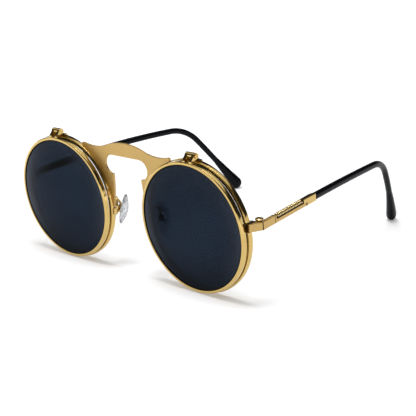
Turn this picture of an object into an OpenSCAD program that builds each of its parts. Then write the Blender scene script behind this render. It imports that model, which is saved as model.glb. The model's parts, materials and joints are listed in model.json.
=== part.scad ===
// Flip up sunglasses: a round metal frame with clear lenses, and tinted lenses that flip up on top hinges.
// X runs from the wearer's right to the wearer's left, the front faces -Y, the temples run back along +Y.
// Every side module draws the wearer's left piece, and right() mirrors it.

/* [Rims] */
// Radius of each lens opening
opening_r = 25.6; // [25:0.1:26.2]
// Distance from the middle of the nose to the middle of each lens
lens_half_spacing = 37.6; // [37.4:0.1:38.6]
// How far the top of the rear frame leans forward, degrees
rear_lean = 3.1; // [2:0.1:4]
// How much further the flip rims lean, degrees
flip_extra_lean = 1.0; // [0.5:0.1:1]
// Radial wall of a rear rim
rear_rim_wall = 1.6; // [1.4:0.05:1.8]
// Front to back depth of a rear rim
rear_rim_depth = 2.2; // [2:0.05:2.6]
// Radial wall of a flip rim
flip_rim_wall = 1.2; // [1.1:0.05:1.3]
// Front to back depth of a flip rim
flip_rim_depth = 2.1; // [1.9:0.05:2.2]
// Space between a flip rim and its rear rim at lens centre height
rims_gap = 0.8; // [0.6:0.05:0.9]
// Bevel on the outer edges of the rims
rim_bevel = 0.3; // [0.1:0.05:0.4]

/* [Lenses] */
// Thickness of a clear lens
clear_lens_t = 1.3; // [1:0.05:1.5]
// Thickness of a dark lens
dark_lens_t = 1.2; // [1:0.05:1.4]
// Radius of the dome that the lenses are ground to
lens_curve_r = 260; // [200:5:400]
// How far a lens reaches into the groove of its rim
lens_seat = 0.6; // [0.4:0.05:0.65]
// Play round a lens in its groove
lens_play = 0.06; // [0.04:0.01:0.1]

/* [Bridge plate] */
// Thickness of the stamped plate
plate_t = 1.0; // [0.8:0.05:1.1]
// Distance from the front of the rear rims back to the plate
plate_setback = 1.05; // [0.9:0.05:1.15]
// Height of the plate's crown above lens centre height
crown_top = 28.1; // [27.7:0.1:29]
// Radius of the crown's arch
crown_r = 32; // [28:0.5:36]
// Height of the dip on each side of the crown
dip_height = 24.8; // [24.5:0.1:25.2]
// Distance from the middle out to each dip
dip_x = 18.6; // [18:0.1:19.4]
// Distance from the middle out to the tip of each wing
wing_tip_x = 25.4; // [24.8:0.1:26]
// Width of each leg between the nose opening and its rear rim
leg_w = 2.2; // [1.9:0.1:2.6]
// Radius of the round lobe on each side of the keyhole
lobe_r = 4.1; // [3.8:0.1:4.2]
// Height of the middle of the lobes
lobe_height = 18.2; // [18:0.1:18.4]
// Height of the keyhole's top edge
keyhole_top = 22.4; // [22.2:0.1:22.7]
// Radius of the long curve on the inner edge of each leg
leg_curve_r = 81; // [70:1:90]
// Height at which a leg's inner edge stands upright
leg_curve_height = 17; // [16:0.5:18]

/* [Flip hinges] */
// Distance of a flip hinge's middle outward from its lens centre
flip_hinge_offset = 1.4; // [1:0.1:1.8]
// Height of the hinge pin above the top of the rear rim
flip_pin_rise = 1.85; // [1.75:0.05:2.2]
// Distance of the hinge pin forward of the rear rim's front
flip_pin_ahead = 0.13; // [0.05:0.01:0.2]
// Outer radius of the flip hinge's knuckles
flip_knuckle_r = 1.25; // [1.1:0.05:1.25]
// Length of the middle knuckle, on the rear frame
flip_middle_w = 2.0; // [1.6:0.1:2.4]
// Length of each outer knuckle, on the flip rim
flip_outer_w = 1.35; // [1.1:0.05:1.6]
// Radius of the flip hinge's screw
flip_screw_r = 0.5; // [0.4:0.02:0.56]
// Radius of that screw's head
flip_head_r = 0.95; // [0.8:0.05:1.1]
// Half angle that the hinge's saddle covers on the rear rim, degrees
saddle_half_angle = 7.5; // [6.5:0.1:8.5]
// Height of the flip stop tab along its rim, degrees
stop_tab_angle = 7; // [5:0.5:9]

/* [End pieces and temple hinges] */
// Height of an end piece and of the temple bar
end_h = 3.0; // [2.8:0.1:3.4]
// Height of the end pieces' middle above lens centre height
end_rise = 4.55; // [4:0.05:5.2]
// Distance of a temple hinge's screw outside its rear rim
hinge_out = 0.8; // [0.6:0.05:1.1]
// Distance of the temple hinge's screw behind the flip rims' front
hinge_y = 8.0; // [7.9:0.1:8.4]
// Outer radius of the temple hinge's knuckles
hinge_knuckle_r = 1.6; // [1.4:0.05:1.62]
// Radius of the temple hinge's screw
hinge_screw_r = 0.7; // [0.6:0.02:0.8]
// Radius of that screw's round head
hinge_head_r = 1.65; // [1.4:0.05:1.8]
// Thickness of that head
hinge_head_t = 0.7; // [0.5:0.05:0.9]
// Height of the collar under the head
hinge_collar_h = 0.5; // [0.3:0.05:0.7]
// Open line between an end piece and its temple
hinge_seam = 0.25; // [0.12:0.01:0.28]
// Height of the clamp block that closes a rear rim
lock_h = 3.6; // [3.2:0.1:4]

/* [Temple bars] */
// Thickness of a temple bar
bar_t = 1.8; // [1.6:0.05:1.9]
// Length of the bar from the hinge to the step for the spring
bar_block_length = 7.6; // [7:0.1:8.5]
// Length from the hinge to the end of the bar under the spring
bar_length = 27; // [26.5:0.1:27.5]
// Height of the strip left under the spring
strip_h = 1.4; // [1.2:0.05:1.45]
// Rise of the bar toward the back, degrees
bar_rise = 4.6; // [4.6:0.1:5.2]
// Inward turn of the bar toward the back, degrees
bar_inward = 2.7; // [1:0.1:4]
// Length of the ferrule's upper half
ferrule_length = 8.0; // [7.5:0.1:8.3]
// Length of the ferrule's lower half
ferrule_foot_length = 6.0; // [5.6:0.1:6.4]

/* [Springs] */
// Diameter of the spring's wire
spring_wire_d = 0.5; // [0.35:0.01:0.52]
// Outer diameter of the spring
spring_d = 2.0; // [1.9:0.05:2.1]
// Distance from one curl to the next
spring_pitch = 0.95; // [0.93:0.01:1.1]
// Number of curls
spring_curls = 17; // [8:1:17]

/* [Sleeves] */
// Length of a black sleeve along its curve
sleeve_length = 100.5; // [100.1:0.1:100.5]
// Height of the sleeve where it starts
sleeve_h = 3.1; // [2.9:0.05:3.3]
// Thickness of the sleeve where it starts
sleeve_t = 2.5; // [2.3:0.05:2.7]
// Height of the sleeve along the drop behind the ear
drop_h = 2.8; // [2.6:0.05:3.1]
// Height of the paddle at the tip
paddle_h = 6.3; // [5.6:0.1:6.6]
// Thickness of the paddle at the tip
paddle_t = 4.9; // [4.2:0.1:5.2]
// Radius of the core wire inside the sleeve
core_r = 0.7; // [0.5:0.05:0.8]

/* [Nose pads] */
// Height of a nose pad
pad_h = 13.2; // [12:0.2:14]
// Width of a nose pad
pad_w = 7.8; // [7:0.1:8.4]
// Thickness of a nose pad
pad_t = 2.2; // [1.8:0.1:2.4]
// Radius of the dome on the nose side of a pad
pad_dome_r = 13; // [11:0.5:20]
// Radius of a pad arm's wire
arm_r = 0.5; // [0.4:0.05:0.55]
// Height of the metal box behind a pad
pad_box_h = 2.8; // [2.4:0.1:3.2]
// Width of that box
pad_box_w = 2.6; // [2.4:0.1:3]
// Depth of that box
pad_box_d = 1.6; // [1.5:0.1:1.8]
// Radius of the small screw that holds a pad
pad_screw_r = 0.35; // [0.3:0.01:0.4]

/* [Hidden] */
$fn = 96;
round_fine = 240;
solder_gap = 0.01;
running_gap = 0.04;
side_gap = 0.06;
free_gap = 0.1;
cut = 1;

rear_out_r = opening_r + rear_rim_wall;
flip_out_r = opening_r + flip_rim_wall;
flip_lean = rear_lean + flip_extra_lean;
ring_z = rear_out_r * cos(rear_lean) - rim_bevel * sin(rear_lean);
rear_y = flip_rim_depth + rims_gap;

hinge_x = lens_half_spacing + rear_out_r + hinge_out;
end_z = ring_z + end_rise;

plate_foot = -0.6;
nose_half_w = lens_half_spacing - rear_out_r - leg_w;
dip_step = crown_top - dip_height;
arch_sum = (pow(dip_x, 2) + pow(dip_step, 2)) / (2 * dip_step);
dip_r = arch_sum - crown_r;
crown_edge_x = dip_x * crown_r / arch_sum;
wing_blank_top = dip_height + 0.7;
lobe_bottom = lobe_height - lobe_r;

flip_pin_w = rear_out_r + flip_pin_rise;
saddle_t = 0.5;
saddle_end_h = 0.6;
saddle_end_angle = 1.6;
saddle_inset = 0.15;
saddle_middle_angle = acos(flip_hinge_offset / rear_out_r);
stop_tab_mid_angle = 168;
stop_tab_t = 0.5;
flip_head_t = 0.5;
slot_w = 0.3;

end_top = end_z + end_h / 2;
end_bottom = end_z - end_h / 2;
lock_in_x = hinge_x - 2.3;
lock_out_x = hinge_x - 0.3;
lock_front_y = rear_y - 0.6;
lock_back_y = hinge_y - 1.7;
lock_slit = 0.2;
lock_screw_r = 0.45;
lock_screw_pos = [hinge_x - 1.25, lock_back_y - 0.72];
lock_head_r = 0.6;
lock_head_t = 0.4;
bar_out_x = hinge_knuckle_r + 0.8;
bar_mid_x = bar_out_x - bar_t / 2;
plate_in_x = hinge_knuckle_r + 0.08;
knuckle_h = end_h / 3;
end_face_y = -0.6 - hinge_seam;
bar_start_y = hinge_knuckle_r + 0.2;
bar_groove_y = bar_block_length - 1;
bar_groove = 0.12;

spring_r = (spring_d - spring_wire_d) / 2;
strip_top = strip_h - end_h / 2;
spring_z = strip_top + spring_d / 2 + 0.05;
spring_length = spring_curls * spring_pitch;
spring_front = bar_block_length + spring_wire_d / 2 + 0.35;
ferrule_y = bar_length + ferrule_foot_length - ferrule_length;
ferrule_end = bar_length + ferrule_foot_length;
ferrule_t = bar_t + 0.5;
ferrule_h = end_h + 0.1;
ferrule_round_r = 1.8;
rod_r = spring_r - spring_wire_d / 2 - 0.08;
rod_sink = 0.7;
spring_rings = 8;
wire_sides = 6;

sleeve_gap = 0.08;
core_sink = 3;
core_short = 5;
sleeve_rings = 40;
sleeve_sides = 14;
core_sides = 8;
tip_round = 3.2;
bend_start = 0.481 * sleeve_length;
bend_end = 0.65 * sleeve_length;
fall_angles = [[0, 1.2 - bar_rise], [bend_start, 1.3], [bend_end, 49.4], [sleeve_length, 54]];
inward_angles = [[0, bar_inward + 1.3], [bend_start, 8.6], [bend_end, 21.7], [sleeve_length, 31.5]];
paddle_start = 0.8 * sleeve_length;
paddle_half = 0.9 * sleeve_length;
paddle_full = 0.965 * sleeve_length;
height_marks = [[0, sleeve_h], [bend_start, drop_h + 0.1], [paddle_start, drop_h],
    [paddle_half, (drop_h + paddle_h) / 2], [paddle_full, paddle_h]];
thickness_marks = [[0, sleeve_t], [paddle_start, sleeve_t + 0.2], [paddle_full, paddle_t]];

pad_pin = [lens_half_spacing - rear_out_r + 1.1, rear_y + 6.6, ring_z - 2.75];
pad_splay = -32;
pad_tilt = -12.9;
pad_box_floor = 0.3;
pad_pin_x = 0.95;
pad_tongue_t = 0.8;
pad_tongue_r = pad_pin_x - pad_box_floor - side_gap;
pad_tongue_h = 2.2;
arm_sides = 10;
arm_foot_from = 181.8;
arm_foot_to = 189;
arm_foot_t = 0.6;
arm_depth = plate_setback + plate_t + solder_gap + arm_r;
arm_route = [from_rear([-cos(3) * (rear_out_r + arm_r), arm_depth, -1.7]),
    from_rear([-cos(1) * (rear_out_r + arm_r), arm_depth, -0.4]), pad_pin + [-1.2, -3.6, 3.6], pad_pin + [-0.5, -3.0, 4.8],
    pad_pin + [0.3, -2.3, 5.3], pad_pin + [1.0, -1.5, 4.9], pad_pin + [1.1, -0.8, 3.8],
    from_pad([pad_pin_x, 0, pad_tongue_h]), from_pad([pad_pin_x, 0, pad_tongue_h - 0.5])];

// Centre line of the sleeve, found by walking along its headings
sleeve_step = sleeve_length / sleeve_rings;
sleeve_route = [for (i = 0, p = from_bar([bar_mid_x, ferrule_end + sleeve_gap, 0]);
    i <= sleeve_rings; p = p + sleeve_step * sleeve_heading((i + 0.5) * sleeve_step), i = i + 1) p];

// Lengths at which the sleeve has a ring, closer together near the tip
sleeve_marks = concat([for (i = [0 : sleeve_rings - 2]) i * sleeve_step],
    [for (a = [0 : 15 : 90]) sleeve_length - tip_round + tip_round * sin(a)]);

front_edge_y = -(flip_out_r - rim_bevel) * sin(flip_lean);
tip_back_y = max([for (s = sleeve_marks, p = sleeve_ring(s, 0)) p[1]]);
origin_y = (front_edge_y + tip_back_y) / 2;

gold = [0.80, 0.66, 0.38];
clear = [0.90, 0.95, 0.97, 0.35];
navy = [0.12, 0.16, 0.22, 0.85];
black = [0.06, 0.06, 0.07];
silicone = [0.85, 0.88, 0.92, 0.6];

// Frames of reference

module left() {
    translate([0, -origin_y, 0]) children();
}

module right() {
    left() mirror([1, 0, 0]) children();
}

// Middle of a rear rim's front, leaning with the rear frame
module at_rear() {
    translate([lens_half_spacing, rear_y, ring_z]) rotate([rear_lean, 0, 0]) children();
}

// Middle of a flip rim's front, leaning with the flip rims
module at_flip() {
    translate([lens_half_spacing, 0, ring_z]) rotate([flip_lean, 0, 0]) children();
}

// Axis of the flip hinge, level with X, in the middle of its knuckles
module at_flip_pin() {
    at_rear() translate([flip_hinge_offset, -flip_pin_ahead, flip_pin_w]) children();
}

// Axis of the temple hinge, upright, at the middle of its height
module at_hinge() {
    translate([hinge_x, hinge_y, end_z]) children();
}

// Temple bar, with its length along Y
module at_bar() {
    at_hinge() rotate([bar_rise, 0, bar_inward]) children();
}

// Nose pad, with its length along Z and the nose on its -X side
module at_pad() {
    translate(pad_pin) rotate([0, pad_tilt, pad_splay]) children();
}

// Turns the Z axis of a round shape to point back along Y
module facing_back() {
    rotate([-90, 0, 0]) children();
}

// A cylinder along X, centred
module rod_x(r, length) {
    rotate([0, 90, 0]) cylinder(r = r, h = length, center = true);
}

// Shapes that repeat

// Round rim with bevelled outer edges and a groove for its lens
module rim(out_r, depth, lens_t) {
    groove_w = lens_t + 2 * lens_play + 0.12;
    groove_front = (depth - groove_w) / 2;
    groove_r = opening_r + lens_seat + lens_play;
    facing_back() difference() {
        rotate_extrude($fn = round_fine) polygon([[opening_r, 0], [out_r - rim_bevel, 0],
            [out_r, rim_bevel], [out_r, depth - rim_bevel], [out_r - rim_bevel, depth], [opening_r, depth]]);
        translate([0, 0, groove_front]) cylinder(r = groove_r, h = groove_w, $fn = round_fine);
    }
}

// Domed lens that sits in the middle of a rim's depth, with its bulge to the front
module lens(depth, thickness) {
    edge_r = opening_r + lens_seat;
    sag = lens_curve_r - sqrt(pow(lens_curve_r, 2) - pow(edge_r, 2));
    front = (depth - thickness) / 2 - sag;
    facing_back() intersection() {
        translate([0, 0, front - cut]) cylinder(r = edge_r, h = sag + thickness + 2 * cut, $fn = round_fine);
        difference() {
            translate([0, 0, front + lens_curve_r]) sphere(r = lens_curve_r, $fn = round_fine);
            translate([0, 0, front + lens_curve_r + thickness]) sphere(r = lens_curve_r, $fn = round_fine);
        }
    }
}

// Straight slot across the head of a screw that points along +Z
module slot(head_r, depth) {
    translate([0, 0, -depth / 2]) cube([2 * head_r + cut, slot_w, depth], center = true);
}

// Turns a point of the rear rim's frame into the frame of the whole object
function from_rear(p) = [lens_half_spacing + p[0],
    rear_y + p[1] * cos(rear_lean) - p[2] * sin(rear_lean),
    ring_z + p[1] * sin(rear_lean) + p[2] * cos(rear_lean)];

// Turns a point of the nose pad's frame into the frame of the whole object
function from_pad(p) = let (
        x = p[0] * cos(pad_tilt) + p[2] * sin(pad_tilt),
        z = p[2] * cos(pad_tilt) - p[0] * sin(pad_tilt))
    pad_pin + [x * cos(pad_splay) - p[1] * sin(pad_splay), x * sin(pad_splay) + p[1] * cos(pad_splay), z];

// Direction of a temple that falls and turns inward by these angles
function heading(fall, inward) = [-sin(inward) * cos(fall), cos(inward) * cos(fall), -sin(fall)];

// Turns a point of the temple bar's frame into the frame of the whole object
function from_bar(p) = let (
        y = p[1] * cos(bar_rise) - p[2] * sin(bar_rise),
        z = p[1] * sin(bar_rise) + p[2] * cos(bar_rise))
    [hinge_x + p[0] * cos(bar_inward) - y * sin(bar_inward),
     hinge_y + p[0] * sin(bar_inward) + y * cos(bar_inward), end_z + z];

function sleeve_heading(s) = heading(lookup(s, fall_angles), lookup(s, inward_angles));

// Ring of points round a centre, with the half sizes a to the side and b upright
function ring(centre, ahead, a, b, sides) = let (
        side = cross(ahead, [0, 0, 1]) / norm(cross(ahead, [0, 0, 1])),
        up = cross(side, ahead))
    [for (k = [0 : sides - 1]) centre + a * cos(360 * k / sides) * side + b * sin(360 * k / sides) * up];

// Closed skin over rings that all have the same number of points
module skin(rings) {
    n = len(rings[0]);
    last = (len(rings) - 1) * n;
    sides = [for (i = [0 : len(rings) - 2], k = [0 : n - 1], half = [0, 1])
        half == 0
            ? [i * n + k, i * n + (k + 1) % n, (i + 1) * n + k]
            : [i * n + (k + 1) % n, (i + 1) * n + (k + 1) % n, (i + 1) * n + k]];
    caps = [[for (k = [n - 1 : -1 : 0]) k], [for (k = [0 : n - 1]) last + k]];
    polyhedron(points = [for (r = rings, p = r) p], faces = concat(sides, caps));
}

// Rear frame

// Outline of the stamped plate, seen from the front, with lens centre height at 0
module plate_outline() {
    difference() {
        intersection() {
            translate([-wing_tip_x, plate_foot]) square([2 * wing_tip_x, crown_top - plate_foot]);
            union() {
                translate([0, crown_top - crown_r]) circle(crown_r, $fn = round_fine);
                for (s = [-1, 1]) translate([s * (crown_edge_x + wing_tip_x) / 2 - (wing_tip_x - crown_edge_x) / 2, 0])
                    square([wing_tip_x - crown_edge_x, wing_blank_top]);
            }
        }
        for (s = [-1, 1]) {
            translate([s * dip_x, dip_height + dip_r]) circle(dip_r, $fn = round_fine);
            translate([s * lens_half_spacing, 0]) circle(rear_out_r + solder_gap, $fn = round_fine);
            translate([s * nose_half_w, lobe_height]) circle(lobe_r);
        }
        translate([-nose_half_w, lobe_bottom]) square([2 * nose_half_w, keyhole_top - lobe_bottom]);
        difference() {
            translate([-dip_x, plate_foot - cut]) square([2 * dip_x, lobe_bottom - plate_foot + cut]);
            for (s = [-1, 1]) translate([s * (nose_half_w + leg_curve_r), leg_curve_height])
                circle(leg_curve_r, $fn = round_fine);
        }
    }
}

module bridge_plate() {
    color(gold) translate([0, rear_y, ring_z]) rotate([rear_lean, 0, 0])
        translate([0, plate_setback + plate_t, 0]) rotate([90, 0, 0]) linear_extrude(plate_t) plate_outline();
}

module rear_rim() {
    color(gold) difference() {
        at_rear() rim(rear_out_r, rear_rim_depth, clear_lens_t);
        at_hinge() translate([-rear_out_r / 2, -rear_out_r / 2, -lock_slit / 2]) cube([rear_out_r / 2, rear_out_r / 2, lock_slit]);
    }
}

module clear_lens() {
    color(clear) at_rear() lens(rear_rim_depth, clear_lens_t);
}

// Band that hugs the rear rim's outside between two angles
module rim_band(from, to, thickness, front, back) {
    facing_back() rotate([0, 0, -to]) rotate_extrude(angle = to - from, $fn = round_fine)
        translate([rear_out_r + solder_gap, front]) square([thickness, back - front]);
}

// Saddle on the rear rim with a post that carries the middle knuckle
module flip_hinge_base() {
    from = saddle_middle_angle - saddle_half_angle;
    to = saddle_middle_angle + saddle_half_angle;
    back = rear_rim_depth - saddle_inset;
    post_front = flip_knuckle_r - flip_pin_ahead;
    color(gold) difference() {
        union() {
            at_rear() {
                rim_band(from, to, saddle_t, saddle_inset, back);
                rim_band(from, from + saddle_end_angle, saddle_end_h, saddle_inset, back);
                rim_band(to - saddle_end_angle, to, saddle_end_h, saddle_inset, back);
            }
            at_flip_pin() rod_x(flip_knuckle_r, flip_middle_w);
            at_flip_pin() translate([-flip_middle_w / 2, 0, -flip_pin_rise - rim_bevel])
                cube([flip_middle_w, post_front, flip_pin_rise + rim_bevel]);
        }
        at_flip_pin() rod_x(flip_screw_r + running_gap, flip_middle_w + cut);
        at_rear() facing_back() cylinder(r = rear_out_r + solder_gap, h = 3 * rear_rim_depth, center = true, $fn = round_fine);
    }
}

// Small tab beside the nose that the closed flip rim rests against
module flip_stop() {
    from = stop_tab_mid_angle - stop_tab_angle / 2;
    to = stop_tab_mid_angle + stop_tab_angle / 2;
    lip = rims_gap - 0.2;
    color(gold) at_rear() {
        rim_band(from, to, stop_tab_t, -lip, plate_setback - solder_gap);
        facing_back() rotate([0, 0, -to]) rotate_extrude(angle = to - from, $fn = round_fine)
            translate([rear_out_r - rear_rim_wall / 2, -lip])
            square([rear_rim_wall / 2 + 2 * solder_gap, lip - solder_gap]);
    }
}

// End pieces, rim locks and temple hinges

// Room that a rear rim takes out of the pieces soldered to it
module rim_seat() {
    at_rear() translate([0, -solder_gap, 0]) facing_back()
        cylinder(r = rear_out_r + solder_gap, h = rear_rim_depth + 2 * solder_gap, $fn = round_fine);
}

// Plan of the arm that runs from the rim lock out to the temple hinge, with the hinge at 0
module end_piece_plan() {
    root_x = lock_out_x - hinge_x + solder_gap;
    front = lock_front_y - hinge_y;
    polygon([[root_x, front], [root_x + 0.5, front], [bar_out_x - 0.05, end_face_y],
        [0, end_face_y], [root_x, lock_back_y - hinge_y]]);
}

module end_piece() {
    bore_r = hinge_screw_r + running_gap;
    color(gold) difference() {
        union() {
            at_hinge() translate([0, 0, -end_h / 2]) linear_extrude(end_h) end_piece_plan();
            at_hinge() cylinder(r = hinge_knuckle_r, h = end_h, center = true);
        }
        at_hinge() cylinder(r = hinge_knuckle_r + free_gap, h = knuckle_h + 2 * side_gap, center = true);
        at_hinge() cylinder(r = bore_r, h = end_h + cut, center = true);
    }
}

// Two clamp halves that close the slit in the rear rim
module rim_lock() {
    size = [lock_out_x - lock_in_x, lock_back_y - lock_front_y, lock_h];
    color(gold) difference() {
        translate([lock_in_x, lock_front_y, end_z - lock_h / 2]) cube(size);
        rim_seat();
        translate([lock_in_x - cut, lock_front_y - cut, end_z - lock_slit / 2])
            cube([size[0] + 2 * cut, size[1] + 2 * cut, lock_slit]);
        translate([lock_screw_pos[0], lock_screw_pos[1], end_z])
            cylinder(r = lock_screw_r + running_gap, h = lock_h + cut, center = true);
        translate([lock_screw_pos[0], lock_screw_pos[1], end_z - lock_h / 2 - cut])
            cylinder(r = lock_head_r + running_gap, h = lock_head_t + cut);
    }
}

module lock_screw() {
    color(gold) translate([lock_screw_pos[0], lock_screw_pos[1], end_z - lock_h / 2]) difference() {
        union() {
            cylinder(r = lock_head_r, h = lock_head_t - solder_gap);
            cylinder(r = lock_screw_r, h = lock_h);
        }
        mirror([0, 0, 1]) slot(lock_head_r, lock_head_t);
    }
}

// Screw of the temple hinge, with a collar and a round head on top
module hinge_screw() {
    color(gold) at_hinge() difference() {
        union() {
            translate([0, 0, -end_h / 2]) cylinder(r = hinge_screw_r, h = end_h + hinge_collar_h);
            translate([0, 0, end_h / 2 + solder_gap]) cylinder(r = hinge_head_r * 0.65, h = hinge_collar_h);
            translate([0, 0, end_h / 2 + hinge_collar_h]) rotate_extrude()
                polygon([[0, 0], [hinge_head_r - 0.15, 0], [hinge_head_r, 0.15],
                    [hinge_head_r, hinge_head_t - 0.25], [hinge_head_r - 0.35, hinge_head_t], [0, hinge_head_t]]);
        }
        translate([0, 0, end_h / 2 + hinge_collar_h + hinge_head_t]) slot(hinge_head_r, 0.6);
    }
}

// Flip rims

module flip_rim() {
    color(gold) at_flip() rim(flip_out_r, flip_rim_depth, dark_lens_t);
}

module dark_lens() {
    color(navy) at_flip() lens(flip_rim_depth, dark_lens_t);
}

// Side view of one arm of the yoke, from the pin down to the flip rim, drawn in the flip rim's frame
module yoke_arm(pin_back, pin_up) {
    foot_front = rim_bevel;
    foot_back = flip_rim_depth - rim_bevel;
    polygon([[foot_front, flip_out_r - 1], [foot_back, flip_out_r - 1], [foot_back, flip_out_r],
        [pin_back + 0.3, pin_up - flip_knuckle_r * 0.9], [pin_back - flip_knuckle_r * 0.9, pin_up + 0.35],
        [foot_front, flip_out_r + 0.5]]);
}

// Two outer knuckles on arms that rise from the top of the flip rim
module flip_hinge_yoke() {
    // The pin in the flip rim's frame, from its place in the rear frame
    ahead = -flip_pin_ahead * cos(rear_lean) - flip_pin_w * sin(rear_lean) + rear_y;
    above = -flip_pin_ahead * sin(rear_lean) + flip_pin_w * cos(rear_lean);
    pin_back = ahead * cos(flip_lean) + above * sin(flip_lean);
    pin_up = above * cos(flip_lean) - ahead * sin(flip_lean);
    middle = (flip_middle_w + flip_outer_w) / 2 + side_gap;
    color(gold) difference() {
        union() for (s = [-1, 1]) {
            at_flip() translate([flip_hinge_offset + s * middle - flip_outer_w / 2, 0, 0])
                rotate([90, 0, 90]) linear_extrude(flip_outer_w) yoke_arm(pin_back, pin_up);
            at_flip_pin() translate([s * middle, 0, 0]) rod_x(flip_knuckle_r, flip_outer_w);
        }
        at_flip_pin() rod_x(flip_screw_r + running_gap, 4 * middle);
        at_flip() facing_back() cylinder(r = flip_out_r + solder_gap, h = 3 * flip_rim_depth, center = true, $fn = round_fine);
    }
}

module flip_screw() {
    half = flip_middle_w / 2 + side_gap + flip_outer_w;
    color(gold) at_flip_pin() difference() {
        union() {
            translate([0.05, 0, 0]) rod_x(flip_screw_r, 2 * half + 0.1);
            translate([half + solder_gap + flip_head_t / 2, 0, 0]) rod_x(flip_head_r, flip_head_t);
        }
        translate([half + solder_gap + flip_head_t, 0, 0]) rotate([0, 90, 0]) slot(flip_head_r, 0.3);
    }
}

// Temples

// Bar with the hinge's middle knuckle, a thick front block, and a strip that carries the spring
module temple_bar() {
    color(gold) difference() {
        union() {
            at_hinge() cylinder(r = hinge_knuckle_r, h = knuckle_h, center = true);
            at_hinge() translate([0, end_face_y + hinge_seam, -knuckle_h / 2])
                cube([plate_in_x + 0.3, bar_start_y - end_face_y, knuckle_h]);
            at_bar() translate([plate_in_x, end_face_y - cut, -end_h / 2])
                cube([bar_out_x - plate_in_x, bar_start_y - end_face_y + 2 * cut, end_h]);
            at_bar() translate([bar_out_x - bar_t, bar_start_y, -end_h / 2])
                cube([bar_t, bar_block_length - bar_start_y, end_h]);
            at_bar() translate([bar_out_x - bar_t, bar_start_y, -end_h / 2])
                cube([bar_t, bar_length - bar_start_y, strip_h]);
        }
        at_hinge() translate([-cut, end_face_y + hinge_seam - 3, -end_h]) cube([4, 3, 2 * end_h]);
        at_hinge() cylinder(r = hinge_screw_r + running_gap, h = end_h, center = true);
        at_bar() translate([bar_out_x - bar_groove / 2, bar_groove_y, -end_h])
            cube([bar_groove, 2 * bar_groove, 2 * end_h]);
        at_bar() translate([bar_mid_x, bar_block_length - rod_sink, spring_z]) facing_back()
            cylinder(r = rod_r + running_gap, h = rod_sink + cut);
    }
}

module spring_rod() {
    color(gold) at_bar() translate([bar_mid_x, bar_block_length - rod_sink + solder_gap, spring_z]) facing_back()
        cylinder(r = rod_r, h = ferrule_y - bar_block_length + 2 * rod_sink - 2 * solder_gap);
}

// Point on the spring's wire after this many rings, and the way that the wire runs there
function coil_point(i) = let (turn = 360 * i / spring_rings)
    [spring_r * cos(turn), spring_pitch * i / spring_rings, spring_r * sin(turn)];
function coil_heading(i) = let (turn = 360 * i / spring_rings, round = 2 * PI * spring_r)
    [-sin(turn) * round, spring_pitch, cos(turn) * round] / norm([round, spring_pitch]);
function coil_ring(i) = let (
        turn = 360 * i / spring_rings,
        out = [cos(turn), 0, sin(turn)],
        across = cross(out, coil_heading(i)))
    [for (k = [0 : wire_sides - 1]) let (a = -360 * k / wire_sides)
        coil_point(i) + spring_wire_d / 2 * (cos(a) * out + sin(a) * across)];
coil_count = spring_curls * spring_rings;
coil_gaps = [for (i = [0 : coil_count], j = [i + spring_rings / 2 : 1 : coil_count])
    norm(coil_point(i) - coil_point(j)) - spring_wire_d];
echo(str("Least gap between the curls of a spring, mm: ", min(coil_gaps)));

// Fixed coil spring round its rod, in the step of the temple bar
module spring() {
    color(gold) at_bar() translate([bar_mid_x, spring_front, spring_z])
        skin([for (i = [0 : coil_count]) coil_ring(i)]);
}

// End fitting of the bar, stepped over the strip, with a socket for the core wire
module ferrule() {
    color(gold) at_bar() translate([bar_mid_x, 0, 0]) difference() {
        translate([0, ferrule_y, 0]) facing_back() linear_extrude(ferrule_length) intersection() {
            square([ferrule_t, ferrule_h], center = true);
            circle(ferrule_round_r);
        }
        translate([-ferrule_t, ferrule_y - cut, strip_top + solder_gap - 2 * end_h])
            cube([2 * ferrule_t, bar_length + solder_gap - ferrule_y + cut, 2 * end_h]);
        translate([0, ferrule_y - cut, spring_z]) facing_back()
            cylinder(r = rod_r + running_gap, h = rod_sink + cut);
        translate([0, ferrule_end - core_sink, 0]) facing_back()
            cylinder(r = core_r + running_gap, h = core_sink + cut);
    }
}

// Share of the full section that is left at a length along the sleeve, to round off its tip
function tip_share(s) = let (t = (s - sleeve_length + tip_round) / tip_round) t <= 0 ? 1 : sqrt(max(1 - t * t, 0.02));

function route_point(s) = let (i = min(floor(s / sleeve_step), sleeve_rings - 1))
    sleeve_route[i] + (s / sleeve_step - i) * (sleeve_route[i + 1] - sleeve_route[i]);
function sleeve_ring(s, grow) = ring(route_point(s), sleeve_heading(s),
    lookup(s, thickness_marks) / 2 * tip_share(s) + grow,
    lookup(s, height_marks) / 2 * tip_share(s) + grow, sleeve_sides);
function core_ring(s, r) = ring(s < 0 ? from_bar([bar_mid_x, ferrule_end + sleeve_gap + s, 0]) : route_point(s),
    sleeve_heading(max(s, 0)), r, r, core_sides);
core_marks = [for (i = [0 : sleeve_rings - 3]) i * sleeve_step];

// Straight wire in the ferrule's socket that then follows the sleeve
module core_wire() {
    color(gold) skin(concat([core_ring(-core_sink, core_r)], [for (s = core_marks) core_ring(s, core_r)]));
}

// Moulded sleeve that bends down behind the ear and ends in a flat paddle
module sleeve() {
    last = core_marks[len(core_marks) - 1];
    color(black) difference() {
        skin([for (s = sleeve_marks) sleeve_ring(s, 0)]);
        skin(concat([core_ring(-cut, core_r + running_gap)], [for (s = core_marks) core_ring(s, core_r + running_gap)],
            [core_ring(last + side_gap, core_r + running_gap)]));
    }
}

// Nose pads

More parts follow.
